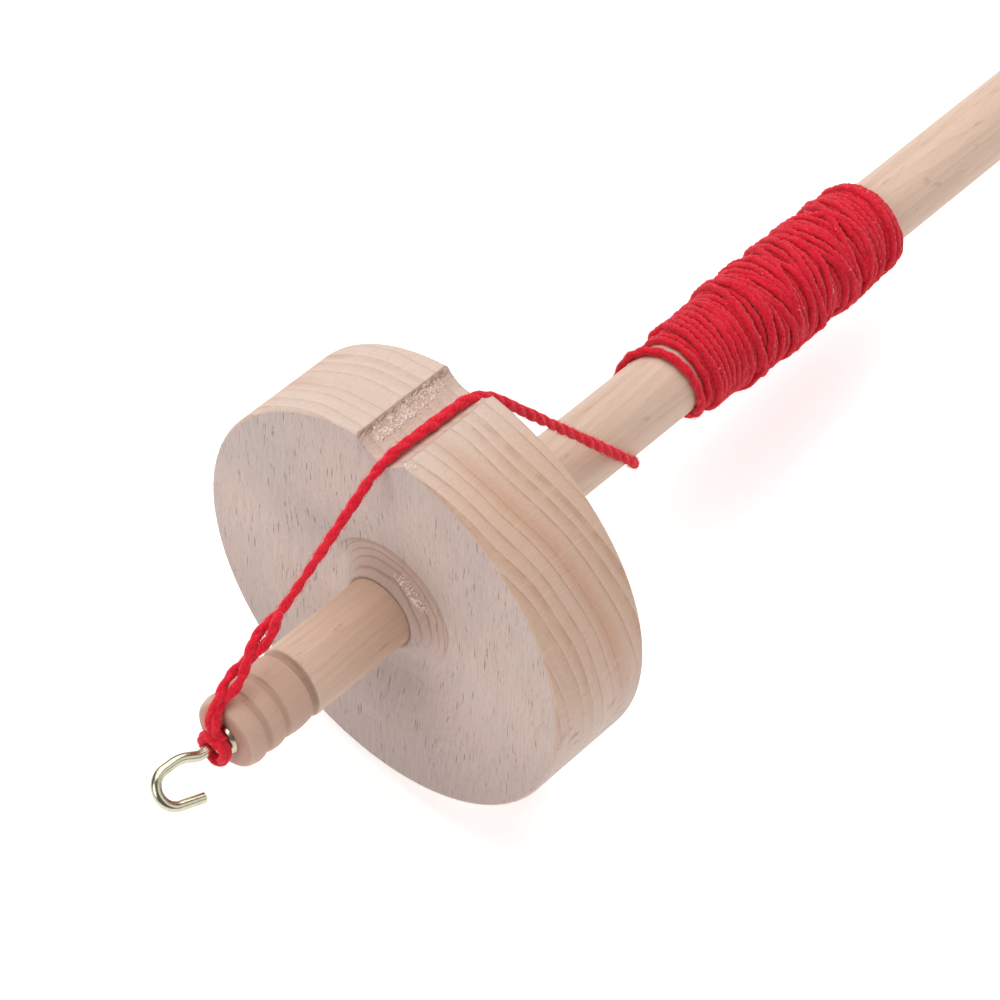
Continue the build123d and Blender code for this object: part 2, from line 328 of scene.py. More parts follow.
@dataclass(frozen=True)
class Beech:
    """Bare sanded beech.

    Attributes:
        name: Name of the material.
        sawn: How the part was cut.
        line: The shaft's line, which the grain is laid to.
        pale: Colour of the soft early wood.
        warm: Colour of the dense late wood.
        dark: Colour of the ray flecks.
        grooves: Distance of each turned groove from the tip, and half its width.
    """

    name: str
    sawn: Sawn
    line: ShaftLine
    pale: tuple[float, float, float] = (0.68, 0.535, 0.455)
    warm: tuple[float, float, float] = (0.50, 0.335, 0.235)
    dark: tuple[float, float, float] = (0.20, 0.105, 0.065)
    grooves: tuple[tuple[float, float], ...] = ((4.1, 0.75), (8.1, 0.75), (14.1, 0.85))

    def make(self) -> bpy.types.Material:
        """Builds the material for its cut."""
        return self.board() if self.sawn is Sawn.BOARD else self.dowel()

    def flecks(self, finish: Finish, spot: Wire, size: tuple[float, float, float],
               reach: float) -> Wire:
        """Slim dark flecks where the rays of the wood end in the surface.

        Args:
            finish: The material that is built.
            spot: Millimetres in the wood's own directions.
            size: Room that each fleck has, in millimetres.
            reach: Half size of a fleck, as a share of its room.

        Returns:
            1 in a fleck and 0 outside.
        """
        sway = finish.grain(spot, (0.15, 0.2, 0.07), 2.0)
        x, y, z = finish.parts(spot)
        wavy = finish.joined(x / size[0], (y + sway * 1.6) / size[1], z / size[2])
        near = finish.cells(wavy)
        strength = finish.noise(spot, 0.8, 1.0).rise(0.28, 0.62)
        return near.rise(reach, reach * 0.3) * strength

    def board(self) -> bpy.types.Material:
        """The whorl: a flat sawn board, with the growth rings nearly along its faces."""
        finish = Finish(self.name)
        spot = finish.spot(self.line.centre, self.line.frame_turn(5.0))
        x, y, z = finish.parts(spot)
        radius = (y * y + z * z) ** 0.5
        notch = z.rise(33.4, 34.4) * x.size().rise(10.2, 9.9)
        rim = notch.sum("MAXIMUM", notch, radius.rise(36.95, 37.25))
        face = 1 - rim
        side = (y.rise(1.0, -20.0) + y.rise(18.0, 34.0)) * rim * z.rise(-26.0, 6.0)
        low = z.rise(12.0, -16.0) * rim
        cloud = finish.grain(spot, (0.02, 0.03, 0.012), 2.0)
        drift = finish.noise(spot, 0.09, 1.0)
        depth = x + z * 0.12 - y * y * 0.003 + cloud * 6.0 + drift * 1.1
        uneven = finish.noise(finish.joined(depth, 0.0, 0.0), 0.3, 1.0)
        ring = (depth / 2.7 + uneven * 2.2).part_of_one()
        late = ring ** 1.6
        edge = ring.rise(0.70, 0.95) * ring.rise(1.0, 0.965)
        broken = finish.grain(spot, (0.3, 0.5, 0.12), 2.0).rise(0.3, 0.6)
        belt = (depth - 4.6).size().rise(2.6, 0.3)
        fine = finish.grain(spot, (1.8, 5.0, 0.6), 3.0, 0.6)
        hairline = finish.grain(spot, (0.8, 4.2, 0.16), 3.0, 0.6)
        streak = finish.grain(spot, (0.5, 1.5, 0.08), 2.0)
        grain = face * 0.16 + rim * (1 - low * 0.75) * (side * 0.80 + 0.30)
        # painted shade: the face and the rim's bottom are painted greyer and darker, with a cloudy
        # change of tone, for the shade that they lie in
        clouds = finish.grain(spot, (0.05, 0.07, 0.045), 3.0)
        painted_shade_grey = finish.tint(clouds.rise(0.36, 0.64), (0.53, 0.412, 0.370), (0.462, 0.388, 0.372))
        # painted shade: the face is painted darker towards its bottom
        painted_low_shade = face * z.rise(6.0, -30.0)
        marked = face + low * 0.8 + 0.12
        wide = self.flecks(finish, spot, (8.0, 0.55, 8.0), 0.24)
        slim = self.flecks(finish, finish.stretched(spot, -1.0, 1.0, 1.0), (5.0, 0.36, 5.4), 0.25)
        tiny = self.flecks(finish, finish.stretched(spot, 1.0, -1.0, 1.0), (2.4, 0.25, 2.7), 0.28)
        rays = finish.grain(spot, (0.07, 2.6, 0.5), 2.0).rise(0.60, 0.74)
        colour = finish.coats(
            self.pale,
            (late * grain * 0.72, self.warm),
            (belt * (side * 0.55 + rim * 0.10), (0.50, 0.255, 0.155)),
            (edge * broken * grain * 0.52, (0.29, 0.155, 0.095)),
            (side * 0.50, (0.63, 0.375, 0.25)),
            (streak.rise(0.35, 0.75) * 0.20, (0.56, 0.37, 0.28)),
            # painted shade on the face and on the rim's bottom
            (face * 0.78 + low * 0.68, painted_shade_grey),
            (painted_low_shade * 0.72, (0.395, 0.30, 0.275)),
            (hairline.rise(0.42, 0.72) * (face * 0.15 + 0.10), (0.33, 0.225, 0.185)),
            (hairline.rise(0.48, 0.30) * face * 0.14, (0.66, 0.55, 0.50)),
            (fine.rise(0.46, 0.8) * 0.30, (0.40, 0.265, 0.20)),
            (wide * marked * 0.58, self.dark),
            (slim * marked * 0.50, self.dark),
            (tiny * marked * 0.44, self.dark),
            (rays * rim * 0.16, (0.74, 0.58, 0.47)))
        colour = self.boss(finish, colour, x, y, z, radius)
        ragged = finish.grain(spot, (0.5, 1.2, 1.2), 3.0)
        split = (y - 5.9 + ragged * 2.6).size().rise(0.30, 0.1) * notch
        torn = self.torn(finish, spot)
        colour = finish.coats(
            colour,
            (radius.rise(7.0, 6.4) * 0.8, (0.20, 0.11, 0.07)),
            (split * ragged.rise(0.40, 0.50) * 0.7, (0.26, 0.15, 0.10)),
            (torn * fine.rise(0.3, 0.6) * 0.5, (0.40, 0.26, 0.19)))
        height = fine * 0.5 + hairline * 0.5 + edge * -0.4 + wide * face * -0.9
        return finish.surface({
            "Base Color": colour,
            "Roughness": finish.noise(spot, 0.6, 2.0) * 0.16 + 0.5 + wide * 0.15,
            "Normal": finish.bump(height + torn * fine * 3.0, 0.00010),
            "Specular IOR Level": 0.3,
        })

    def boss(self, finish: Finish, colour: Wire, x: Wire, y: Wire, z: Wire,
             radius: Wire) -> Wire:
        """Marks the slope round the shaft, where the tool cut across the rings, and paints shade
        there: the slope's tint, partly its cut end grain and partly painted shade, is strongest on
        its upper side, and a dark ring of painted shade lies in the corner at its foot.

        Args:
            finish: The material that is built.
            colour: The colour so far.
            x: Millimetres along the shaft.
            y: Millimetres across it.
            z: Millimetres up the face.
            radius: Millimetres from the axis.

        Returns:
            The colour with the marks.
        """
        front = x.rise(2.0, -2.0)
        sway = finish.noise(finish.joined(x * 0.0, y, z), 0.16, 1.0)
        slope = radius.rise(6.4, 7.2) * radius.rise(12.3, 11.7) * front
        upper = (z + y * -0.4).rise(-2.0, 6.0)
        line = ((radius + sway * 1.4) / 1.25).part_of_one()
        mark = line.rise(0.60, 0.9) * line.rise(1.0, 0.93)
        # painted shade: a dark ring in the concave corner at the foot of the slope
        outer = (radius - 12.0 - sway * 0.5).size().rise(0.42, 0.1) * front
        turned = ((radius + sway * 0.7) / 2.1).part_of_one().rise(0.75, 1.0)
        cove = radius.rise(12.5, 14.0) * radius.rise(27.0, 24.0) * front
        return finish.coats(
            colour,
            # partly cut end grain and partly painted shade, strongest on the upper side
            (slope * (upper * 0.50 + 0.12), (0.48, 0.31, 0.245)),
            (mark * slope * upper * 0.50, (0.27, 0.15, 0.10)),
            (outer * (upper * 0.42 + 0.06), (0.27, 0.16, 0.12)),
            (turned * cove * 0.10, (0.30, 0.20, 0.17)))

    def torn(self, finish: Finish, spot: Wire) -> Wire:
        """Where the grain tore out: beside the notch and on the slope round the shaft.

        Args:
            finish: The material that is built.
            spot: Millimetres in the wood's own directions.

        Returns:
            1 where the wood is torn and 0 elsewhere.
        """
        x, y, z = finish.parts(spot)
        ragged = finish.grain(spot, (0.4, 0.9, 0.9), 3.0)
        beside = (y - ragged * 2.4).rise(-1.4, 0.6) * (y + ragged * 2.0).rise(6.6, 5.4)
        notch = beside * z.rise(33.0, 34.0) * 0.35
        along = (x + 12.0).size().rise(3.4, 2.4)
        radius = (y * y + z * z) ** 0.5
        ring = radius.rise(8.4, 9.2) * radius.rise(12.2, 10.6)
        slope = ring * along * z.rise(3.5, 6.5) * y.rise(1.0, -1.5) * ragged.rise(0.42, 0.56)
        return (notch * ragged.rise(0.38, 0.5) + slope).sum("MINIMUM", notch + slope, 1.0)

    def dowel(self) -> bpy.types.Material:
        """The shaft: a dowel with its grain lengthwise."""
        finish = Finish(self.name)
        spot = finish.spot(self.line.centre, self.line.frame_turn(-38.0))
        x, y, z = finish.parts(spot)
        cloud = finish.grain(spot, (0.012, 0.16, 0.16), 3.0)
        ring = ((y + cloud * 9.0) / 1.9).part_of_one()
        fine = finish.grain(spot, (0.22, 3.4, 3.4), 3.0, 0.6)
        streak = finish.grain(spot, (0.03, 0.8, 0.8), 2.0)
        laid = finish.joined(y, z, x)
        fleck = self.flecks(finish, laid, (4.0, 0.6, 7.0), 0.24)
        warmth = x.rise(-36.0, -10.0) * x.rise(30.0, 8.0)
        tip = self.line.tip_place
        groove = None
        for place, half in self.grooves:
            here = (x - (tip + place)).size().rise(half, half * 0.35)
            groove = here if groove is None else groove.sum("MAXIMUM", groove, here)
        deepest, half = self.grooves[-1]
        colour = finish.coats(
            (0.69, 0.505, 0.395),
            (ring ** 2.0 * 0.34 + streak.rise(0.35, 0.8) * 0.30, (0.55, 0.365, 0.265)),
            (fine.rise(0.45, 0.8) * 0.32, (0.48, 0.31, 0.215)),
            (fleck * 0.26, self.dark),
            (warmth * 0.30, (0.60, 0.345, 0.21)),
            # painted shade: the beads from the tip to the third groove are painted darker
            (x.rise(tip + 14.6, tip + 13.0) * 0.70, (0.50, 0.31, 0.23)),
            # painted shade: the grooves are painted darker, the third and widest one most
            (groove * 0.38, (0.35, 0.215, 0.15)),
            ((x - (tip + deepest)).size().rise(half, 0.6) * 0.45, (0.30, 0.18, 0.125)),
            (x.rise(tip + 0.5, tip + 0.05) * 0.75, (0.40, 0.215, 0.165)))
        height = fine * 0.6 + fleck * -0.8
        return finish.surface({
            "Base Color": colour,
            "Roughness": finish.noise(spot, 0.5, 2.0) * 0.14 + 0.47,
            "Normal": finish.bump(height, 0.00007),
            "Specular IOR Level": 0.35,
        })


@dataclass(frozen=True)
class TornWood:
    """The crumbled fibres of torn beech: lighter than the sanded wood, partly as painted light
    that lifts the shaded wall of the scoop, and dark in their gaps as painted shade.

    Attributes:
        name: Name of the material.
        line: The shaft's line.
    """

    name: str
    line: ShaftLine

    def make(self) -> bpy.types.Material:
        """Builds the material."""
        finish = Finish(self.name)
        spot = finish.spot(self.line.centre, self.line.frame_turn())
        grit = finish.grain(spot, (2.2, 3.4, 3.4), 3.0, 0.7)
        clump = finish.noise(spot, 0.7, 2.0)
        # painted light and shade: the pale stops lift the shaded wall of the scoop, and the dark
        # stop shades the gaps between the crumbs
        colour = finish.node("ShaderNodeValToRGB", {"stops": [
            (0.34, (0.34, 0.20, 0.14)), (0.43, (0.64, 0.46, 0.37)),
            (0.53, (0.83, 0.68, 0.59)), (0.66, (0.94, 0.87, 0.81))]},
            {0: grit * 0.75 + clump * 0.25})
        return finish.surface({
            "Base Color": colour,
            "Roughness": clump * 0.2 + 0.7,
            "Normal": finish.bump(grit, 0.0002),
            "Specular IOR Level": 0.2,
        })


@dataclass(frozen=True)
class Brass:
    """Bright plated brass with drawing marks, faint tarnish and handling scratches.

    Attributes:
        name: Name of the material.
        line: The shaft's line.
        gold: Colour of the clean metal.
        brown: Colour of the tarnish.
    """

    name: str
    line: ShaftLine
    gold: tuple[float, float, float] = (0.55, 0.52, 0.39)
    brown: tuple[float, float, float] = (0.34, 0.28, 0.17)

    def make(self) -> bpy.types.Material:
        """Builds the material."""
        finish = Finish(self.name)
        spot = finish.spot(self.line.centre, self.line.frame_turn())
        tarnish = finish.noise(spot, 0.45, 4.0, 0.6).rise(0.48, 0.78)
        marks = finish.grain(spot, (1.2, 14.0, 9.0), 3.0, 0.7)
        pits = finish.cells(finish.stretched(spot, 2.4, 2.4, 2.4)).rise(0.16, 0.05)
        colour = finish.tint(tarnish * 0.5, self.gold, self.brown)
        colour = finish.tint(pits * 0.4, colour, (0.20, 0.15, 0.08))
        return finish.surface({
            "Base Color": colour,
            "Metallic": 1.0,
            "Roughness": tarnish * 0.16 + marks * 0.10 + 0.12,
            "Normal": finish.bump(marks * 0.4 + pits * -0.6, 0.00002),
        })


@dataclass(frozen=True)
class Wool:
    """Dyed woollen yarn, whose fibres slant round each ply.

    Attributes:
        name: Name of the material.
        dye: Colour of the lit fibres.
        fibre_gap_shade: Painted shade between the fibres, where the fibre bump is low.
        fibre_highlight: Painted highlight on the crests of the fibres.
    """

    name: str
    dye: tuple[float, float, float] = (0.90, 0.016, 0.040)
    fibre_gap_shade: tuple[float, float, float] = (0.50, 0.005, 0.020)
    fibre_highlight: tuple[float, float, float] = (0.97, 0.13, 0.15)

    def make(self) -> bpy.types.Material:
        """Builds the material; the UV map runs round a ply and along it, in millimetres."""
        finish = Finish(self.name)
        lie = finish.node("ShaderNodeUVMap", {"uv_map": "lie"})
        round_ply, along, _ = finish.parts(lie)
        slant = finish.joined(round_ply * 3.0 + along * 0.9, along * 0.45, 0.0)
        fibre = finish.noise(slant, 2.6, 4.0, 0.7)
        here = finish.node("ShaderNodeTexCoord", out="Object")
        batch = finish.noise(here, 260.0, 3.0)
        # painted shade and highlight: the hollows of the fibre bump are painted dark and its
        # crests pale
        colour = finish.tint(fibre.rise(0.30, 0.62), self.fibre_gap_shade, self.dye)
        colour = finish.tint(fibre.rise(0.62, 0.78) * 0.35, colour, self.fibre_highlight)
        colour = finish.tint(batch.rise(0.35, 0.75) * 0.25, colour, (0.80, 0.035, 0.055))
        return finish.surface({
            "Base Color": colour,
            "Roughness": fibre * 0.15 + 0.72,
            "Normal": finish.bump(fibre, 0.00020),
            "Sheen Weight": 0.50,
            "Sheen Roughness": 0.45,
            "Sheen Tint": (1.0, 0.45, 0.45, 1.0),
            "Specular IOR Level": 0.15,
            "Subsurface Weight": 0.12,
            "Subsurface Radius": (0.0012, 0.0003, 0.0003),
            "Subsurface Scale": 1.0,
        })


@dataclass(frozen=True)
class Hair:
    """Loose wool hairs that stand off the yarn, or pale specks, which stand for loose fibres and
    paint highlights on the cop.

    Attributes:
        name: Name of the material.
        root: Colour at one end of the scatter.
        tip: Colour at the other.
    """

    name: str
    root: tuple[float, float, float] = (0.86, 0.014, 0.036)
    tip: tuple[float, float, float] = (0.94, 0.030, 0.050)

    def make(self) -> bpy.types.Material:
        """Builds the material."""
        finish = Finish(self.name)
        here = finish.node("ShaderNodeTexCoord", out="Object")
        patch = finish.noise(here, 900.0, 2.0)
        return finish.surface({
            "Base Color": finish.tint(patch.rise(0.35, 0.65), self.root, self.tip),
            "Roughness": patch * 0.1 + 0.85,
            "Normal": finish.bump(patch, 0.00002),
            "Specular IOR Level": 0.03,
        })


# ---------------------------------------------------------------- working a mesh
def only(piece: bpy.types.Object) -> None:
    """Leaves one object selected and active."""
    bpy.ops.object.select_all(action="DESELECT")
    piece.select_set(True)
    bpy.context.view_layer.objects.active = piece


def dress(piece: bpy.types.Object, finish: bpy.types.Material, body: Body) -> None:
    """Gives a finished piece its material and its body.

    Args:
        piece: The piece, in its place.
        finish: Its material.
        body: What it rides on.
    """
    piece.data.materials.clear()
    piece.data.materials.append(finish)
    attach(piece, body.value)
    count = sum(len(p.vertices) - 2 for p in piece.data.polygons)
    LOG.info("%s rides on %s, %d triangles", piece.name, body.value, count)


def piece_from(name: str, points: np.ndarray, faces: list) -> bpy.types.Object:
    """Makes a smooth shaded object of points and faces.

    Args:
        name: Name of the piece.
        points: Its points in metres.
        faces: Its faces, as tuples of point numbers.

    Returns:
        The new object, at the origin.
    """
    mesh = bpy.data.meshes.new(name)
    mesh.from_pydata(points.tolist(), [], faces)
    mesh.polygons.foreach_set("use_smooth", [True] * len(mesh.polygons))
    mesh.update()
    piece = bpy.data.objects.new(name, mesh)
    bpy.context.scene.collection.objects.link(piece)
    return piece


def tube_faces(base: int, rings: int, corners: int) -> list[tuple[int, ...]]:
    """Faces of a closed tube whose points are numbered ring after ring.

    Args:
        base: Number of its first point.
        rings: How many rings it has.
        corners: Points to a ring.

    Returns:
        Its sides, ring after ring, and then its first and its last end.
    """
    faces = []
    last = base + (rings - 1) * corners
    for low in range(base, last, corners):
        high = low + corners
        for corner in range(corners):
            after = (corner + 1) % corners
            faces.append((low + corner, low + after, high + after, high + corner))
    faces.append(tuple(base + corner for corner in reversed(range(corners))))
    faces.append(tuple(last + corner for corner in range(corners)))
    return faces


# ---------------------------------------------------------------- yarn
class Route:
    """A yarn's smooth line, read from a NURBS spline with the route's points as control points."""

    def __init__(self, name: str, points: list[Vector], spacing: float) -> None:
        """Lays the spline and reads its line.

        Args:
            name: Name of the yarn.
            points: The route's points, in metres.
            spacing: Distance between the points of the line that is read, in metres.
        """
        curve = bpy.data.curves.new(name + "_line", "CURVE")
        curve.dimensions = "3D"
        spline = curve.splines.new("NURBS")
        spline.points.add(len(points) - 1)
        for knot, point in zip(spline.points, points):
            knot.co = (*point, 1.0)
        spline.order_u = 3
        spline.use_endpoint_u = True
        spline.resolution_u = 10
        holder = bpy.data.objects.new(name + "_line", curve)
        bpy.context.scene.collection.objects.link(holder)
        mesh = bpy.data.meshes.new_from_object(holder)
        rough = np.array([v.co[:] for v in mesh.vertices])
        bpy.data.objects.remove(holder)
        bpy.data.meshes.remove(mesh)
        steps = np.linalg.norm(np.diff(rough, axis=0), axis=1)
        keep = np.concatenate([[True], steps > 1e-7])
        rough = rough[keep]
        reach = np.concatenate([[0], np.cumsum(np.linalg.norm(np.diff(rough, axis=0), axis=1))])
        self.length = float(reach[-1])
        count = max(2, round(self.length / spacing) + 1)
        self.reach = np.linspace(0, self.length, count)
        self.line = np.stack([np.interp(self.reach, reach, rough[:, k]) for k in range(3)], 1)
        self.along, self.side, self.over = self._frames()

    def reach_at(self, point: Vector) -> float:
        """How far along the line the place nearest to a point is, in millimetres."""
        away = np.linalg.norm(self.line - np.array(point), axis=1)
        return float(self.reach[np.argmin(away)] / MM)

    def _frames(self) -> tuple[np.ndarray, np.ndarray, np.ndarray]:
        """Direction along the line and two square to it that turn as little as they can."""
        along = np.gradient(self.line, axis=0)
        along /= np.linalg.norm(along, axis=1)[:, None]
        side = np.zeros_like(along)
        first = np.cross(along[0], [0.0, 0.0, 1.0])
        side[0] = first / np.linalg.norm(first)
        for i in range(1, len(along)):
            flat = side[i - 1] - along[i] * np.dot(side[i - 1], along[i])
            side[i] = flat / np.linalg.norm(flat)
        return along, side, np.cross(along, side)


@dataclass
class PliedYarn:
    """Two plies twisted round a route.

    Attributes:
        name: Name of the piece.
        route: The line that it follows.
        diameter: Width of the yarn, in millimetres.
        pitch: Length of one full twist, in millimetres.
        corners: Points round each ply.
        seed: Start of its unevenness.
        fullness: Radius of each ply, as a share of the yarn's width.
        swell: Places along it, in millimetres, and the share of the width that it has there.
    """

    name: str
    route: Route
    diameter: float
    pitch: float
    corners: int
    seed: int
    fullness: float
    swell: tuple[tuple[float, float], ...] = ((0.0, 1.0),)

    def thickness(self) -> np.ndarray:
        """Uneven thickness along the yarn, as a share, as in hand spun wool."""
        rng = np.random.default_rng(self.seed)
        reach = self.route.reach / MM
        share = np.ones(len(reach))
        for wave, size in ((23.0, 0.05), (9.0, 0.045), (3.7, 0.035)):
            share += size * np.sin(2 * math.pi * reach / wave + rng.uniform(0, 6.28))
        places, shares = zip(*self.swell)
        return share * np.interp(reach, places, shares)

    def ply(self, start: float, share: np.ndarray) -> np.ndarray:
        """Rings of points of one ply.

        Args:
            start: Angle at which its twist starts, in radians.
            share: Thickness along the yarn, as a share.

        Returns:
            The points, ring after ring.
        """
        route, count = self.route, len(self.route.reach)
        radius = self.fullness * self.diameter * MM * share
        off = (0.5 - self.fullness) * self.diameter * MM * share
        twist = 2 * math.pi * route.reach / (self.pitch * MM)
        ends = np.ones(count)
        ends[:3] = (0.35, 0.75, 0.95)
        ends[-3:] = (0.95, 0.75, 0.35)
        turn = (twist + start)[:, None]
        middle = route.line + off[:, None] * (np.cos(turn) * route.side
                                              + np.sin(turn) * route.over)
        rings = np.empty((count, self.corners, 3))
        for corner in range(self.corners):
            angle = (2 * math.pi * corner / self.corners + twist + start)[:, None]
            out = np.cos(angle) * route.side + np.sin(angle) * route.over
            rings[:, corner] = middle + (radius * ends)[:, None] * out
        return rings.reshape(-1, 3)

    def lies(self) -> list[tuple[float, float]]:
        """Places of one ply's face corners on the map: round the ply and along it."""
        places, corners = [], self.corners
        for low, high in zip(self.route.reach / MM, self.route.reach[1:] / MM):
            for corner in range(corners):
                u, v = corner / corners, (corner + 1) / corners
                places += [(u, low), (v, low), (v, high), (u, high)]
        return places + [(0.0, 0.0)] * corners * 2

    def make(self) -> bpy.types.Object:
        """Builds both plies as closed tubes, with their UV map "lie"."""
        share, count = self.thickness(), len(self.route.reach)
        plies = [self.ply(start, share) for start in (0.0, math.pi)]
        faces = [face for base in (0, count * self.corners)
                 for face in tube_faces(base, count, self.corners)]
        yarn = piece_from(self.name, np.concatenate(plies), faces)
        layer = yarn.data.uv_layers.new(name="lie")
        layer.data.foreach_set("uv", np.array(self.lies() * 2, np.float32).ravel())
        return yarn


@dataclass
class Fuzz:
    """Short curved hairs that stand off a yarn.

    Attributes:
        name: Name of the piece.
        route: The line of the yarn.
        count: How many hairs.
        radius: Distance from the line at which they start, in millimetres.
        longest: Longest hair, in millimetres.
        seed: Start of their scatter.
        width: Width of a hair at its root, in millimetres.
        outside: The axis from which the hairs stand away, or None to stand all round the yarn.
    """

    name: str
    route: Route
    count: int
    radius: float
    longest: float
    seed: int
    width: float = 0.05
    outside: ShaftLine | None = None

    def make(self) -> bpy.types.Object:
        """Builds all hairs as one mesh of slim three-sided tubes."""
        rng = np.random.default_rng(self.seed)
        route = self.route
        at = rng.integers(3, len(route.line) - 3, self.count)
        angle = rng.uniform(0, 2 * math.pi, self.count)[:, None]
        out = np.cos(angle) * route.side[at] + np.sin(angle) * route.over[at]
        if self.outside is not None:
            axis = np.array(self.outside.ahead)
            away = route.line[at] - np.array(self.outside.centre)
            away -= (away @ axis)[:, None] * axis
            away /= np.linalg.norm(away, axis=1)[:, None]
            out = out * 0.55 + away
            out /= np.linalg.norm(out, axis=1)[:, None]
        along = route.along[at] * rng.choice([-1.0, 1.0], self.count)[:, None]
        start = route.line[at] + out * self.radius * 0.85 * MM
        length = (rng.uniform(0.2, 1.0, self.count) ** 1.8 * self.longest * MM)[:, None]
        lean = rng.uniform(0.1, 0.8, self.count)[:, None]
        curl = rng.uniform(-0.7, 0.7, self.count)[:, None]
        third = np.cross(along, out)
        stops = []
        for share in (0.0, 0.35, 0.7, 1.0):
            stops.append(start + length * (share * along * lean + share * (1 - 0.45 * share)
                         * out * (1.15 - lean) + curl * share ** 2 * third * 0.6))
        thin = self.width * MM * np.array([1.0, 0.85, 0.6, 0.15])
        points = np.empty((self.count, 4, 3, 3))
        for stop in range(4):
            for corner in range(3):
                turn = 2 * math.pi * corner / 3
                points[:, stop, corner] = stops[stop] + thin[stop] * (
                    math.cos(turn) * out + math.sin(turn) * third) / 2
        faces = [face for hair in range(self.count) for face in tube_faces(hair * 12, 4, 3)]
        piece = piece_from(self.name, points.reshape(-1, 3), faces)
        only(piece)
        bpy.ops.object.mode_set(mode="EDIT")
        bpy.ops.mesh.select_all(action="SELECT")
        bpy.ops.mesh.normals_make_consistent(inside=False)
        bpy.ops.object.mode_set(mode="OBJECT")
        return piece


@dataclass
class LeadYarn:
    """The yarn from its free end, round the hook's neck, over the notch and on to the cop.

    Its route repeats the points of the CAD tubes, with turns of a hitch added between them.

    Attributes:
        line: The shaft's line.
        diameter: Width of the yarn, in millimetres.
        tube: Width of the plain CAD tubes that it stands for.
        shaft_radius: Radius of the shaft.
        whorl_radius: Radius of the whorl.
        whorl_half: Half the whorl's thickness.
        notch_depth: Depth of the notch in the whorl's rim.
        twist_length: Length over which the free end is twisted round the yarn.
        twist_turns: Turns of that twist.
        twist_steps: Points that each strand of the twist has, less one.
        hitch_turns: Turns of the hitch round the hook's neck.
        hitch_steps: Points to a turn of the hitch.
        passes: Angle and place of the yarn's passes over the shaft.
    """

    line: ShaftLine
    diameter: float = 1.9
    tube: float = 1.6
    shaft_radius: float = 6.35
    whorl_radius: float = 37.5
    whorl_half: float = 10.25
    notch_depth: float = 3.2
    twist_length: float = 17.0
    twist_turns: float = 1.0
    twist_steps: int = 12
    hitch_turns: float = 2.2
    hitch_steps: int = 14
    passes: list[tuple[float, float]] = field(default_factory=lambda: [
        (78, 41.3), (105, 43.9), (210, 52.4), (270, 56.2), (310, 57.6), (336, 58.6),
        (353, 59.2), (400, 60.0), (470, 60.8), (560, 63.0)])

    def __post_init__(self) -> None:
        """Works out the points at the shaft's rim and before the notch."""
        tip, half = self.line.tip_place, self.tube / 2
        bed = self.whorl_radius - self.notch_depth + half + 0.8
        self.rim = self.line.around(tip + 0.3, self.shaft_radius + half + 0.15, -12)
        self.notch_front = self.line.around(-self.whorl_half - 0.4, bed, -3.2)

    def over_notch(self) -> list[Vector]:
        """The yarn's way through the notch, kept clear of the wood at both of its edges."""
        half = self.whorl_half
        bed = self.whorl_radius - self.notch_depth + self.diameter / 2
        front = self.line.around(-half - 0.4, bed + 0.75, -3.3)
        back = self.line.around(half + 0.1, bed + 0.60, -2.6)
        return [self.rim + (front - self.rim) * 0.78, front,
                self.line.around(-0.2, bed + 0.20, -3.2), back,
                back + (self.turns()[0] - back) * 0.24]

    def strand(self, phase: float) -> list[Vector]:
        """One of two strands twisted round each other, from the tip to the yarn's free end."""
        ahead = (self.notch_front - self.rim).normalized()
        side = ahead.cross(Vector((0, 0, 1))).normalized()
        over = side.cross(ahead)
        points = []
        for step in range(self.twist_steps + 1):
            share = step / self.twist_steps
            turn = math.radians(phase + 360 * self.twist_turns * share)
            off = side * 0.98 * math.cos(turn) + over * (0.45 * math.sin(turn) + 0.25)
            points.append(self.rim + (ahead * self.twist_length * share + off) * MM)
        return points

    def down(self, side: float) -> list[Vector]:
        """The two points by which a strand comes down the shaft's end to the hook's neck."""
        tip = self.line.tip_place
        return [self.line.around(tip - 2.0, 2.6, side),
                self.line.around(tip - 1.4, 5.2, side * 0.8 - 3)]

    def hitch(self) -> list[Vector]:
        """Turns of the hitch round the hook's neck."""
        tip = self.line.tip_place
        points = []
        count = self.hitch_turns * self.hitch_steps
        for step in range(1, round(count)):
            share = step / count
            angle = -24 + 360 * self.hitch_turns * share + 22 * share
            place = tip - 1.25 - 1.3 * math.sin(math.pi * share) ** 0.8
            droop = 0.60 * math.cos(math.radians(angle - 160))
            points.append(self.line.around(place, 2.15 + droop + 0.3 * share, angle))
        return points

    def turn_place(self, angle: float) -> float:
        """Place along the shaft of the yarn at an angle, straight between its passes."""
        angles, places = zip(*self.passes)
        return float(np.interp(angle, angles, places))

    def turns(self) -> list[Vector]:
        """Points of the loose turns that the yarn takes round the shaft."""
        step = 25
        radius = (self.shaft_radius + self.tube / 2) / math.cos(math.radians(step / 2))
        first, last = round(self.passes[0][0]), round(self.passes[-1][0])
        return [self.line.around(self.turn_place(a), radius, a)
                for a in range(first, last + 1, step)]

    def make(self, wool: bpy.types.Material, hair: bpy.types.Material) -> None:
        tail = list(reversed(self.down(-24) + self.strand(90)))
        points = tail + self.hitch() + self.down(-2) + self.strand(-90)
        points += self.over_notch() + self.turns()
        route = Route("yarn", points, 0.36 * MM)
        notch = route.reach_at(self.notch_front)
        # thin where it is pulled tight in the air, and full where it lies in the notch
        swell = ((0.0, 0.92), (notch - 45.0, 0.95), (notch - 25.0, 0.84), (notch - 5.0, 0.92),
                 (notch + 5.0, 1.05), (notch + 24.0, 1.0), (route.length / MM, 0.82))
        yarn = PliedYarn("yarn", route, self.diameter, 6.2, 10, 3, 0.388, swell).make()
        dress(yarn, wool, Body.SPINDLE)
        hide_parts("yarn_lead", "yarn_tail", "yarn_hitch")
        self.diameter * MM
        fuzz = Fuzz("yarn_fuzz", route, 9000, self.diameter / 2, 1.3, 11).make()
        dress(fuzz, hair, Body.SPINDLE)
        LOG.info("lead yarn is %.1f mm long", route.length / MM)


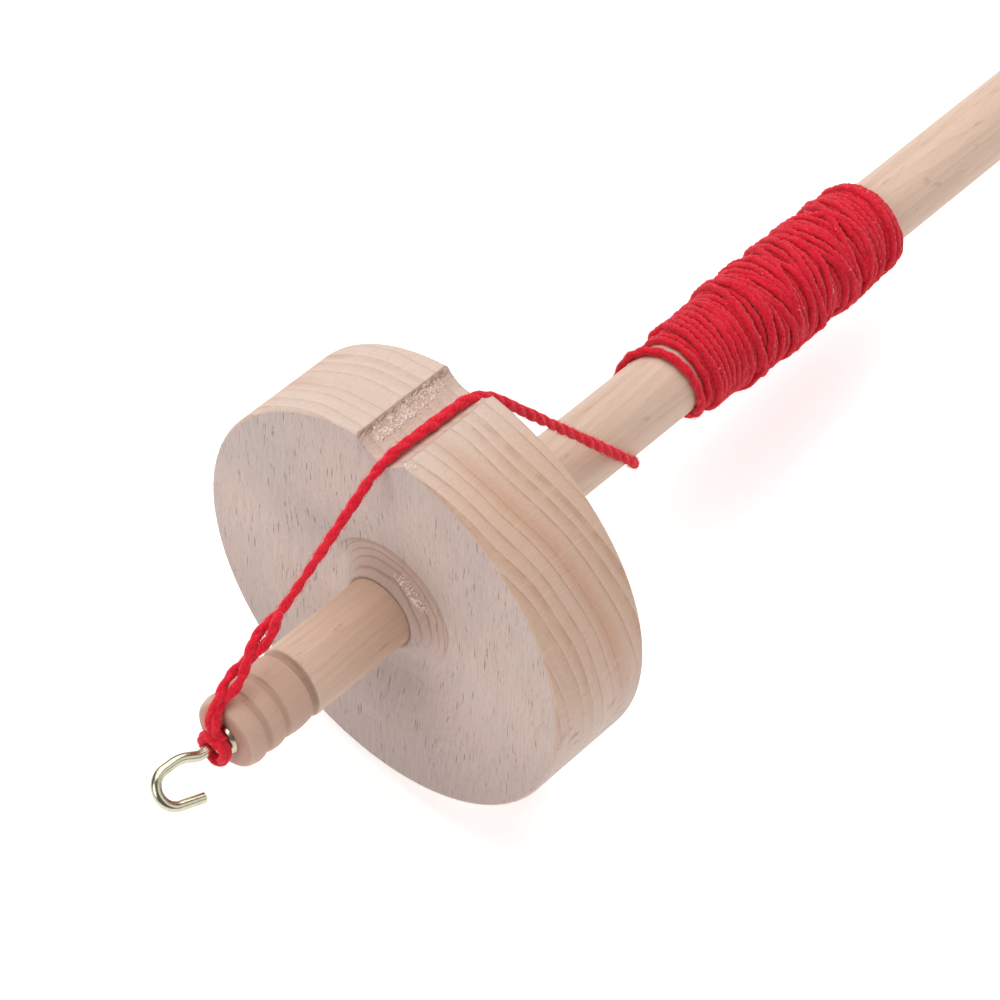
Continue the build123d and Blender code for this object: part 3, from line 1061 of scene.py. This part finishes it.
@dataclass
class CopYarn:
    """The wound store of yarn on the shaft, in three layers.

    Attributes:
        line: The shaft's line.
        diameter: Width of the wound yarn, in millimetres.
        start: Place of the cop's near end.
        end: Place of its far end.
        lean: How far the winding sits off the axis, in millimetres.
        lean_angle: Angle towards which it sits.
        turn_steps: Control points to a turn.
        spacing: Distance between the turns of the two inner layers.
        inner_radius: Radius of the turns on the bare wood.
        outer_radius: Radius of the outer turns where they aren't heaped up.
        heap_start: Place at which a heap of turns starts.
        heap_length: Length of a heap along the shaft.
        angle: Angle of the point that was made last.
        outer: Turns left to go and place of the outer layer, in groups.
    """

    line: ShaftLine
    diameter: float = 1.6
    start: float = 61.8
    end: float = 113.7
    lean: float = 0.55
    lean_angle: float = 116.0
    turn_steps: int = 14
    spacing: float = 1.25
    inner_radius: float = 7.05
    outer_radius: float = 7.9
    heap_start: float = 75.1
    heap_length: float = 6.8
    angle: float = 200.0
    outer: list[tuple[float, float]] = field(default_factory=lambda: [
        (0.0, 113.4), (3.4, 109.8), (4.0, 107.6), (7.0, 103.4), (7.6, 101.0),
        (10.8, 96.6), (11.4, 94.0), (14.4, 89.6), (15.0, 87.2), (18.2, 82.8), (18.8, 80.2),
        (21.6, 76.4), (22.2, 74.0), (24.2, 70.6)])

    def point(self, place: float, radius: float, angle: float) -> Vector:
        """A point of the winding, with its sag to one side."""
        sag = max(0.0, (radius - 7.2) / 2.0) * self.lean
        radius += sag * math.cos(math.radians(angle - self.lean_angle))
        return self.line.around(place, radius, angle)

    def heap(self, place: float) -> float:
        """How far the outer turns are heaped up at a place, in millimetres."""
        share = ((place - self.heap_start) / self.heap_length) % 1.0
        near_side = 0.55 - 0.45 * math.cos(math.radians(self.angle - self.lean_angle))
        return (1.25 * math.sin(math.pi * share ** 0.75) ** 0.7 - 0.5) * near_side

    def points(self) -> list[Vector]:
        """Control points of the whole winding."""
        return self.under_layer() + self.middle_layer() + self.outer_layer() + self.crossing()

    def steps(self, turns: float) -> list[float]:
        """Shares of a layer of so many turns, from 0 to 1."""
        count = round(turns * self.turn_steps)
        return [i / count for i in range(count)]

    def step(self, place: float, radius: float) -> Vector:
        """The next point of the winding, one step of a turn on."""
        self.angle += 360 / self.turn_steps
        return self.point(place, radius, self.angle)

    def under_layer(self) -> list[Vector]:
        """Close turns on the bare wood."""
        room = self.end - self.start
        return [self.step(self.start + share * room, self.inner_radius)
                for share in self.steps(room / self.spacing)]

    def middle_layer(self) -> list[Vector]:
        """Turns on top of those, back towards the whorl, which begin to slant."""
        room, made = self.end - self.start - 2.2, []
        for share in self.steps(room / self.spacing):
            place = self.end + 0.2 - share * room
            slant = 1.0 * math.sin(math.radians(self.angle) + 2.0 + share * 9)
            place += slant * min(1.0, 5 * share)
            lift = min(1.0, share * 30) * (0.80 + 0.4 * self.heap(place))
            made.append(self.step(place, self.inner_radius + lift))
        return made

    def outer_layer(self) -> list[Vector]:
        """Turns in groups, with steep leaps between the groups, towards the far end."""
        turns, places = zip(*self.outer)
        top, made = turns[-1], []
        for share in self.steps(top):
            turn = top * (1 - share)
            place = float(np.interp(turn, turns, places))
            slant = 1.5 * math.sin(math.radians(self.angle) + turn * 0.7)
            ends = min(1.0, share * 8, (1 - share) * 6 + 0.15)
            place += slant * ends
            made.append(self.step(place, self.outer_radius + ends * (0.50 + self.heap(place))))
        return made

    def crossing(self) -> list[Vector]:
        """A last pass of wide slanting turns to the near end and back to the far end."""
        made = []
        for share in self.steps(15.0):
            place = 112.9 - 78.0 * min(share, 1 - share)
            slant = 2.4 * math.sin(math.radians(self.angle) + share * 31)
            ends = min(1.0, share * 9, (1 - share) * 9)
            place += slant * ends
            made.append(self.step(place, self.outer_radius + ends * (0.80 + self.heap(place))))
        return made

    def make(self, wool: bpy.types.Material, hair: bpy.types.Material,
             lint_and_highlight: bpy.types.Material) -> None:
        route = Route("yarn_cop_winding", self.points(), 0.72 * MM)
        cop = PliedYarn("yarn_cop_winding", route, self.diameter, 7.0, 6, 8, 0.43).make()
        dress(cop, wool, Body.SPINDLE)
        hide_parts("yarn_cop")
        self.diameter * MM
        fuzz = Fuzz("yarn_cop_fuzz", route, 9900, self.diameter / 2, 1.2, 21,
                    outside=self.line).make()
        dress(fuzz, hair, Body.SPINDLE)
        # pale specks: loose fibres, and painted highlights on the cop
        specks = Fuzz("yarn_cop_lint_and_highlight", route, 110, self.diameter / 2 + 0.30, 1.5, 37,
                      width=0.12, outside=self.line).make()
        dress(specks, lint_and_highlight, Body.SPINDLE)
        LOG.info("cop yarn is %.2f m long", route.length)


# ---------------------------------------------------------------- torn wood
@dataclass
class TornStrip:
    """A strip of crumbled fibres that lies on the whorl where its grain tore out.

    Attributes:
        name: Name of the piece.
        line: The shaft's line.
        place: Where its middle lies along the shaft.
        radius: Where its middle lies from the axis.
        angle: Where its middle lies round the axis.
        facing: Direction from which it is pressed on.
        size: Its reach along the shaft or down the slope, and across that, in millimetres.
        cuts: Into how many parts each of the two is divided.
        crumb: Height of its crumbs, in millimetres.
        seed: Start of its scatter.
        taper: Share of its width that it loses towards the far end.
        bow: Side to which its narrow end lies, -1 or 1, or 0 for the middle.
    """

    name: str
    line: ShaftLine
    place: float
    radius: float
    angle: float
    facing: Vector
    size: tuple[float, float]
    cuts: tuple[int, int]
    crumb: float
    seed: int
    taper: float = 0.0
    bow: float = 0.0

    def make(self, finish: bpy.types.Material) -> None:
        """Lays a fine grid on the wood, crumbles it, trims its overhang and gives it a back."""
        bpy.ops.object.select_all(action="DESELECT")
        bpy.ops.mesh.primitive_grid_add(x_subdivisions=self.cuts[0], y_subdivisions=self.cuts[1],
                                        size=1.0)
        strip = bpy.context.active_object
        strip.name = self.name
        across = self.facing.cross(self.line.ahead)
        across.normalize()
        ahead = across.cross(self.facing).normalized()
        basis = Matrix((ahead, across, self.facing)).transposed().to_4x4()
        scale = Matrix.Diagonal((self.size[0] * MM, self.size[1] * MM, 1.0, 1.0))
        middle = self.line.around(self.place, self.radius, self.angle) + self.facing * 0.004
        corners_at = np.array([v.co[:2] for v in strip.data.vertices])
        strip.data.transform(Matrix.Translation(middle) @ basis @ scale)
        met = self.press(strip)
        self.crumble(strip, corners_at, met)
        self.trim(strip, met)
        wall = strip.modifiers.new("back", "SOLIDIFY")
        wall.thickness = 0.35 * MM
        wall.offset = -1.0
        bpy.ops.object.modifier_apply(modifier=wall.name)
        bpy.ops.object.shade_smooth()
        dress(strip, finish, Body.SPINDLE)

    def press(self, strip: bpy.types.Object) -> list[bool]:
        """Moves the points of the grid on to the whorl, straight against the facing.

        Args:
            strip: The grid, above its place.

        Returns:
            For each point, whether there was wood under it.
        """
        whorl = frame["nodes"]["whorl"]
        met = []
        for vertex in strip.data.vertices:
            hit, where, _, _ = whorl.ray_cast(vertex.co, -self.facing, distance=0.0065)
            vertex.co = where if hit else vertex.co - self.facing * 0.0047
            met.append(hit)
        return met

    def crumble(self, strip: bpy.types.Object, where: np.ndarray, met: list[bool]) -> None:
        """Lifts ragged crumbs out of the strip and sinks its margins into the wood.

        Args:
            strip: The grid, on the wood.
            where: The grid's own two numbers of each point, from -0.5 to 0.5.
            met: Whether there was wood under each point.
        """
        shift = Vector((self.seed, self.seed * 0.7, 0))
        for vertex, (u, v), on_wood in zip(strip.data.vertices, where, met):
            p = vertex.co / MM
            ragged = noise.noise(p * 0.55 + shift) * 0.16
            half = 0.5 - self.taper * (u + 0.5) * 0.5
            margin = min(0.52 - abs(u), half - abs(v + self.bow * (0.5 - half)) + ragged) * 2
            cover = max(0.0, min(1.0, margin * 2.6)) if on_wood else 0.0
            grit = noise.noise(Vector((p.x * 1.9, p.y * 3.1, p.z * 3.1)) + shift)
            chip = noise.noise(p * 5.2 + shift)
            height = 0.07 + 0.80 * grit + 0.60 * chip
            lift = self.crumb * height * cover - 0.28 * (1 - cover)
            vertex.co += self.facing * lift * MM

    def trim(self, strip: bpy.types.Object, met: list[bool]) -> None:
        """Deletes the points that hang over the whorl's edge.

        Args:
            strip: The grid.
            met: Whether there was wood under each point.
        """
        only(strip)
        bpy.ops.object.mode_set(mode="EDIT")
        bpy.ops.mesh.select_mode(type="VERT")
        bpy.ops.mesh.select_all(action="DESELECT")
        bpy.ops.object.mode_set(mode="OBJECT")
        for vertex, on_wood in zip(strip.data.vertices, met):
            vertex.select = not on_wood
        bpy.ops.object.mode_set(mode="EDIT")
        bpy.ops.mesh.delete(type="VERT")
        bpy.ops.object.mode_set(mode="OBJECT")


@dataclass
class Splinters:
    """Slim pale fibres that stand up from a torn place.

    Attributes:
        name: Name of the piece.
        line: The shaft's line.
        low: Lowest place along the shaft, radius and angle at which they stand.
        high: Highest place, radius and angle.
        count: How many.
        longest: Longest fibre, in millimetres.
        seed: Start of their scatter.
    """

    name: str
    line: ShaftLine
    low: tuple[float, float, float]
    high: tuple[float, float, float]
    count: int
    longest: float
    seed: int

    def sliver(self) -> bpy.types.Object:
        """One splinter: a slim cone, flattened, whose tip is bent over."""
        bpy.ops.object.select_all(action="DESELECT")
        bpy.ops.mesh.primitive_cone_add(vertices=5, radius1=0.07, radius2=0.015, depth=1.0,
                                        location=(0, 0, 0.5))
        sliver = bpy.context.active_object
        sliver.scale = (1.0, 0.5, 1.0)
        bpy.ops.object.transform_apply(location=True, rotation=True, scale=True)
        bpy.ops.object.mode_set(mode="EDIT")
        bpy.ops.mesh.select_all(action="SELECT")
        bpy.ops.mesh.bisect(plane_co=(0, 0, 0.55), plane_no=(0, 0, 1))
        bpy.ops.object.mode_set(mode="OBJECT")
        for vertex in sliver.data.vertices:
            vertex.co.x += 0.35 * max(0.0, vertex.co.z - 0.3)
        return sliver

    def make(self, finish: bpy.types.Material) -> None:
        """Copies the splinter over the torn place, joins the copies and dresses them."""
        rng = np.random.default_rng(self.seed)
        first = self.sliver()
        made = []
        for _ in range(self.count):
            spot = rng.uniform(self.low, self.high)
            copy = first.copy()
            copy.data = first.data.copy()
            bpy.context.scene.collection.objects.link(copy)
            length = rng.uniform(0.35, 1.0) * self.longest * MM
            out = self.line.outward(float(spot[2]))
            lean = Vector(rng.uniform(-0.9, 0.9, 3))
            turn = (out + lean).normalized().to_track_quat("Z", "Y").to_matrix().to_4x4()
            at = self.line.around(*map(float, spot))
            copy.data.transform(Matrix.Translation(at) @ turn @ Matrix.Scale(length, 4))
            made.append(copy)
        bpy.data.objects.remove(first)
        bpy.ops.object.select_all(action="DESELECT")
        for copy in made:
            copy.select_set(True)
        bpy.context.view_layer.objects.active = made[0]
        bpy.ops.object.join()
        piece = bpy.context.active_object
        piece.name = self.name
        dress(piece, finish, Body.SPINDLE)


# ---------------------------------------------------------------- studio
@dataclass
class Studio:
    """Camera, lights and table.

    Attributes:
        line: The shaft's line.
        azimuth: Degrees, 0 looking along +Y and 90 along -X.
        elevation: Degrees above the horizon.
        distance: Metres from the point that is looked at.
        lens: Millimetres, on a 36 mm sensor.
        aim: From the whorl's centre to the point that is looked at, in metres.
    """

    line: ShaftLine
    azimuth: float = -47.6
    elevation: float = 55.826
    distance: float = 0.6145
    lens: float = 138.47
    aim: Vector = field(default_factory=lambda: Vector((0.01572, -0.00216, 0.00689)))

    def camera(self) -> None:
        """Makes the camera and looks at the whorl's upper part."""
        turn, rise = math.radians(self.azimuth), math.radians(self.elevation)
        back = Vector((math.sin(turn) * math.cos(rise), -math.cos(turn) * math.cos(rise),
                       math.sin(rise)))
        data = bpy.data.cameras.new("camera")
        data.lens = self.lens
        data.sensor_width = 36.0
        data.clip_start = 0.05
        data.clip_end = 20.0
        camera = bpy.data.objects.new("camera", data)
        camera.location = self.line.centre + self.aim + back * self.distance
        camera.rotation_mode = "QUATERNION"
        camera.rotation_quaternion = (-back).to_track_quat("-Z", "Y")
        bpy.context.scene.collection.objects.link(camera)
        bpy.context.scene.camera = camera

    def lamp(self, name: str, place: tuple[float, float, float], size: float,
             power: float) -> None:
        """Hangs a square soft light that faces the spindle."""
        data = bpy.data.lights.new(name, "AREA")
        data.size = size
        data.energy = power
        lamp = bpy.data.objects.new(name, data)
        lamp.location = self.line.centre + Vector(place)
        lamp.rotation_mode = "QUATERNION"
        lamp.rotation_quaternion = (-Vector(place)).to_track_quat("-Z", "Y")
        bpy.context.scene.collection.objects.link(lamp)

    def light(self) -> None:
        """Sets the pale surroundings and hangs the lights."""
        world = bpy.data.worlds.new("studio")
        world.use_nodes = True
        world.node_tree.nodes["Background"].inputs["Color"].default_value = (1, 0.99, 0.985, 1)
        world.node_tree.nodes["Background"].inputs["Strength"].default_value = 0.17
        bpy.context.scene.world = world
        bpy.context.scene.view_settings.view_transform = "Standard"
        self.lamp("key", (0.45, 0.40, 1.15), 1.7, 21.0)
        self.lamp("fill", (-1.2, 0.15, 0.85), 1.1, 10.0)
        self.lamp("side_light", (0.5, -1.1, 0.7), 1.0, 3.0)

    def table(self) -> None:
        """Lays the pale table top, a shallow slab with a soft edge."""
        bpy.ops.object.select_all(action="DESELECT")
        bpy.ops.mesh.primitive_cube_add(size=1.0, location=(0, 0, -0.01))
        table = bpy.context.active_object
        table.name = "table"
        table.scale = (6.0, 6.0, 0.02)
        bpy.ops.object.transform_apply(location=True, rotation=True, scale=True)
        bpy.ops.object.mode_set(mode="EDIT")
        bpy.ops.mesh.select_all(action="SELECT")
        bpy.ops.mesh.bevel(offset=0.004, segments=3)
        bpy.ops.object.mode_set(mode="OBJECT")
        finish = Finish("table_top")
        here = finish.node("ShaderNodeTexCoord", out="Object")
        tooth = finish.noise(here, 900.0, 2.0)
        table.data.materials.append(finish.surface({
            "Base Color": finish.tint(tooth * 0.02, (0.93, 0.93, 0.93), (0.88, 0.88, 0.88)),
            "Roughness": 0.85,
            "Specular IOR Level": 0.2,
            "Emission Color": (1.0, 1.0, 1.0, 1.0),
            "Emission Strength": 0.42,
        }))


@dataclass
class WoodAndBrass:
    """The CAD parts that keep their shapes: shaft, whorl, hook and collar.

    Attributes:
        line: The shaft's line.
    """

    line: ShaftLine

    def finish(self, node: str, material: bpy.types.Material) -> None:
        """Gives a CAD part its material in its own slots."""
        part = frame["nodes"][node]
        for index in range(max(1, len(part.material_slots))):
            part.material_slots[index].material = material
        LOG.info("%s has the finish %s", node, material.name)

    def make(self) -> None:
        """Dresses the four parts."""
        self.finish("shaft", Beech("beech_dowel", Sawn.DOWEL, self.line).make())
        self.finish("whorl", Beech("beech_board", Sawn.BOARD, self.line).make())
        brass = Brass("bright_brass", self.line).make()
        self.finish("hook", brass)
        self.finish("hook_collar", brass)


def torn_places(line: ShaftLine) -> None:
    """Tears the whorl beside its notch, at the notch's other lip and on the slope of its boss.

    Args:
        line: The shaft's line.
    """
    torn = TornWood("torn_beech", line).make()
    TornStrip("notch_tear", line, place=0.0, radius=37.4, angle=-8.9, facing=line.outward(-14),
              size=(20.6, 5.2), cuts=(190, 48), crumb=0.42, seed=3, taper=0.62,
              bow=-1.0).make(torn)
    TornStrip("notch_chip", line, place=-9.5, radius=37.4, angle=3.4, facing=line.outward(4),
              size=(1.9, 3.6), cuts=(22, 40), crumb=0.40, seed=14).make(torn)
    TornStrip("boss_tear", line, place=-9.6, radius=9.6, angle=30.0,
              facing=line.outward(30, -1.2, 0.9), size=(2.1, 10.5), cuts=(30, 130), crumb=0.34,
              seed=9).make(torn)
    Splinters("notch_splinters", line, low=(-10.2, 36.2, -13.0), high=(9.8, 37.3, -9.0), count=90,
              longest=0.8, seed=4).make(torn)


def corners(box: tuple[Vector, Vector]) -> list[list[float]]:
    """A box as plain lists of numbers."""
    return [list(map(float, corner)) for corner in box]


def main() -> None:
    """Builds the spindle's looks, from the camera and the yarn to the wood and brass."""
    logging.basicConfig(level=logging.INFO, format="%(message)s")
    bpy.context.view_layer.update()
    line = ShaftLine.from_model(frame["joints"][0])
    studio = Studio(line)
    studio.camera()
    wool = Wool("red_wool").make()
    hair = Hair("red_hairs").make()
    lint_and_highlight = Hair("pale_lint_and_highlight", (0.85, 0.55, 0.50), (0.95, 0.84, 0.78)).make()
    LeadYarn(line).make(wool, hair)
    CopYarn(line).make(wool, hair, lint_and_highlight)
    WoodAndBrass(line).make()
    torn_places(line)
    studio.light()
    studio.table()


if __name__ == "__main__":
    main()
